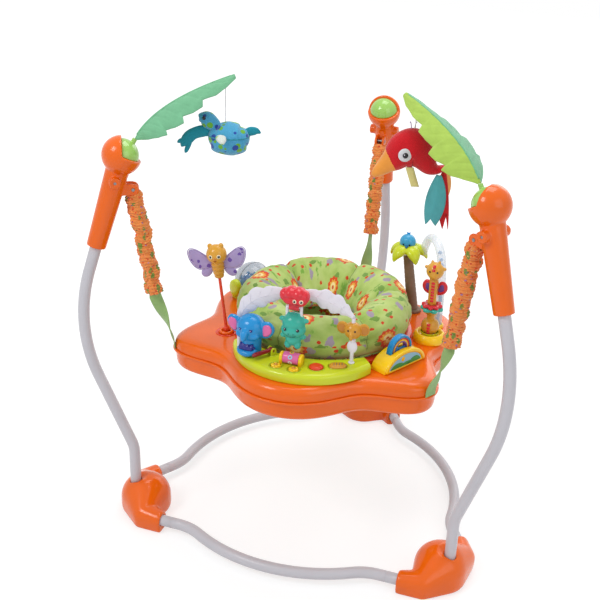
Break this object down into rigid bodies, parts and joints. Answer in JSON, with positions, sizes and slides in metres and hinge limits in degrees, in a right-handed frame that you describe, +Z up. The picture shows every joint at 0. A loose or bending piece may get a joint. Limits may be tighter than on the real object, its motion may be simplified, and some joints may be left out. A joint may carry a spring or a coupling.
{
  "type": "free-standing baby activity jumper",
  "caption": "Free-standing baby activity jumper: bowed tube frame, sprung straps that hold a moulded toy tray, and a padded seat that turns in it.",
  "frame": {"origin": "on the floor, at the middle of the jumper's outline", "axes": "+Z up, -Y the way the child faces, +X to the child's left"},
  "size_m": [0.8326, 0.7903, 0.9077],
  "materials": {
    "orange_plastic": "glossy moulded",
    "tube_paint": "satin white paint",
    "steel": "bright zinc",
    "green_cap": "glossy",
    "cover_cloth": "gathered printed cotton",
    "mint_cloth": "brushed cloth",
    "lime_cloth": "brushed cloth",
    "string_cloth": "braided cord",
    "blue_plush": "short plush",
    "teal_cloth": "brushed cloth",
    "red_plush": "short plush",
    "strap_web": "woven webbing",
    "seat_plastic": "glossy moulded",
    "seat_cloth": "printed cotton",
    "lime_plastic": "glossy moulded",
    "yellow_plastic": "glossy moulded",
    "red_plastic": "glossy moulded",
    "amber_plastic": "glossy moulded",
    "white_plastic": "glossy moulded",
    "teal_plastic": "glossy moulded",
    "blue_plastic": "glossy moulded",
    "navy_plastic": "glossy moulded",
    "pink_plastic": "glossy moulded",
    "maroon_plastic": "glossy moulded",
    "wing_cloth": "thin padded cloth",
    "clear_plastic": "clear moulded",
    "trunk_plastic": "matt moulded"
  },
  "bodies": {
    "frame": {"foot_left": "orange_plastic", "foot_right": "orange_plastic", "foot_rear": "orange_plastic", "base_tube_front": "tube_paint", "base_tube_left": "tube_paint", "base_tube_right": "tube_paint", "post_left": "tube_paint", "post_right": "tube_paint", "post_rear": "tube_paint", "sleeve_left": "orange_plastic", "sleeve_right": "orange_plastic", "sleeve_rear": "orange_plastic", "frame_fasteners": "steel", "cap_rear": "green_cap", "bounce_springs": "steel", "spring_covers": "cover_cloth", "leaf_hub_left": "green_cap", "leaf_hub_right": "green_cap", "leaf_left": "mint_cloth", "leaf_right": "lime_cloth"},
    "turtle": {"turtle_string": "string_cloth", "turtle_body": "blue_plush", "turtle_head": "blue_plush", "turtle_flippers": "teal_cloth"},
    "parrot": {"parrot_string": "string_cloth", "parrot_body": "red_plush", "parrot_tail": "teal_cloth"},
    "tray": {"tray_top": "orange_plastic", "tray_base": "orange_plastic", "tray_screws": "steel", "hanging_straps": "strap_web", "music_panel": "lime_plastic", "toy_arch": "white_plastic", "arch_bug": "red_plastic", "elephant": "blue_plastic", "ball_bracket": "lime_plastic", "rainbow_base": "yellow_plastic", "tower_base": "yellow_plastic", "palm_trunk": "trunk_plastic", "palm_crown": "lime_plastic", "bead_tube": "clear_plastic"},
    "seat": {"seat_ring": "seat_plastic", "seat_cushion": "seat_cloth", "seat_sling": "seat_cloth"},
    "flower_left": {"button_flower_left": "yellow_plastic"},
    "flower_right": {"button_flower_right": "yellow_plastic"},
    "red_button": {"button_red": "seat_plastic"},
    "amber_button": {"button_amber": "amber_plastic"},
    "hippo": {"swing_hippo": "teal_plastic"},
    "mouth_roller": {"elephant_roller": "navy_plastic"},
    "picture_roller": {"picture_roller": "pink_plastic"},
    "lever": {"panel_lever": "maroon_plastic"},
    "bead": {"amber_bead": "amber_plastic"},
    "butterfly": {"butterfly_stalk": "seat_plastic", "butterfly": "amber_plastic", "butterfly_wings": "wing_cloth"},
    "ball": {"bead_ball": "clear_plastic"},
    "rainbow": {"rainbow_arch": "blue_plastic"},
    "giraffe": {"giraffe": "amber_plastic"},
    "rings": {"tower_rings": "red_plastic"}
  },
  "joints": [
    {"name": "tray_bounce", "type": "slide", "parent": "frame", "child": "tray", "axis": [0, 0, 1], "range_m": [-0.1, 0.03], "stiffness_N_per_m": 1100, "springref_m": 0.0275, "deforming": ["bounce_springs", "spring_covers"]},
    {"name": "seat_spin", "type": "hinge", "parent": "tray", "child": "seat", "pos_m": [0, -0.08389, 0.4], "axis": [0, 0, 1], "continuous": true},
    {"name": "turtle_swing", "type": "hinge", "parent": "frame", "child": "turtle", "pos_m": [-0.17, -0.183, 0.8969], "axis": [-0.3007, 0.9537, 0], "range_deg": [-12, 12]},
    {"name": "parrot_swing", "type": "hinge", "parent": "frame", "child": "parrot", "pos_m": [0.181, -0.189, 0.8928], "axis": [-0.3007, 0.9537, 0], "range_deg": [-14, 14]},
    {"name": "flower_left_push", "type": "slide", "parent": "tray", "child": "flower_left", "axis": [0, 0, 1], "range_m": [-0.003, 0], "stiffness_N_per_m": 600, "springref_m": 0.00003},
    {"name": "flower_right_push", "type": "slide", "parent": "tray", "child": "flower_right", "axis": [0, 0, 1], "range_m": [-0.003, 0], "stiffness_N_per_m": 600, "springref_m": 0.00003},
    {"name": "red_button_push", "type": "slide", "parent": "tray", "child": "red_button", "axis": [0, 0, 1], "range_m": [-0.003, 0], "stiffness_N_per_m": 600, "springref_m": 0.00007},
    {"name": "amber_button_push", "type": "slide", "parent": "tray", "child": "amber_button", "axis": [0, 0, 1], "range_m": [-0.003, 0], "stiffness_N_per_m": 600, "springref_m": 0.00007},
    {"name": "hippo_swing", "type": "hinge", "parent": "tray", "child": "hippo", "pos_m": [0.00812, -0.2842, 0.529], "axis": [0.9968, 0.0802, 0], "range_deg": [-25, 3]},
    {"name": "mouth_spin", "type": "hinge", "parent": "tray", "child": "mouth_roller", "pos_m": [-0.07757, -0.29581, 0.437], "axis": [0.9945, -0.1045, 0], "continuous": true},
    {"name": "picture_spin", "type": "hinge", "parent": "tray", "child": "picture_roller", "pos_m": [0.01, -0.29589, 0.432], "axis": [1, 0, 0], "continuous": true},
    {"name": "lever_tip", "type": "hinge", "parent": "tray", "child": "lever", "pos_m": [-0.037, -0.27589, 0.43], "axis": [-0.848, 0.5299, 0], "range_deg": [-4, 25]},
    {"name": "bead_spin", "type": "hinge", "parent": "tray", "child": "bead", "pos_m": [0.10966, -0.24955, 0.486], "axis": [0, 0, 1], "continuous": true},
    {"name": "butterfly_sway", "type": "hinge", "parent": "tray", "child": "butterfly", "pos_m": [-0.169, -0.18289, 0.4074], "axis": [-0.2079, 0.9781, 0], "range_deg": [-12, 12], "stiffness_Nm_per_rad": 0.6, "springref_deg": 0.58},
    {"name": "ball_spin", "type": "hinge", "parent": "tray", "child": "ball", "pos_m": [-0.19601, 0.02033, 0.43], "axis": [-0.4695, -0.8829, 0], "continuous": true},
    {"name": "rainbow_rock", "type": "hinge", "parent": "tray", "child": "rainbow", "pos_m": [0.18167, -0.17887, 0.43], "axis": [-0.8862, 0.4633, 0], "range_deg": [-30, 30]},
    {"name": "giraffe_spin", "type": "hinge", "parent": "tray", "child": "giraffe", "pos_m": [0.213, -0.05389, 0.4], "axis": [0, 0, 1], "continuous": true},
    {"name": "rings_spin", "type": "hinge", "parent": "tray", "child": "rings", "pos_m": [0.213, -0.05389, 0.464], "axis": [0, 0, 1], "continuous": true}
  ]
}
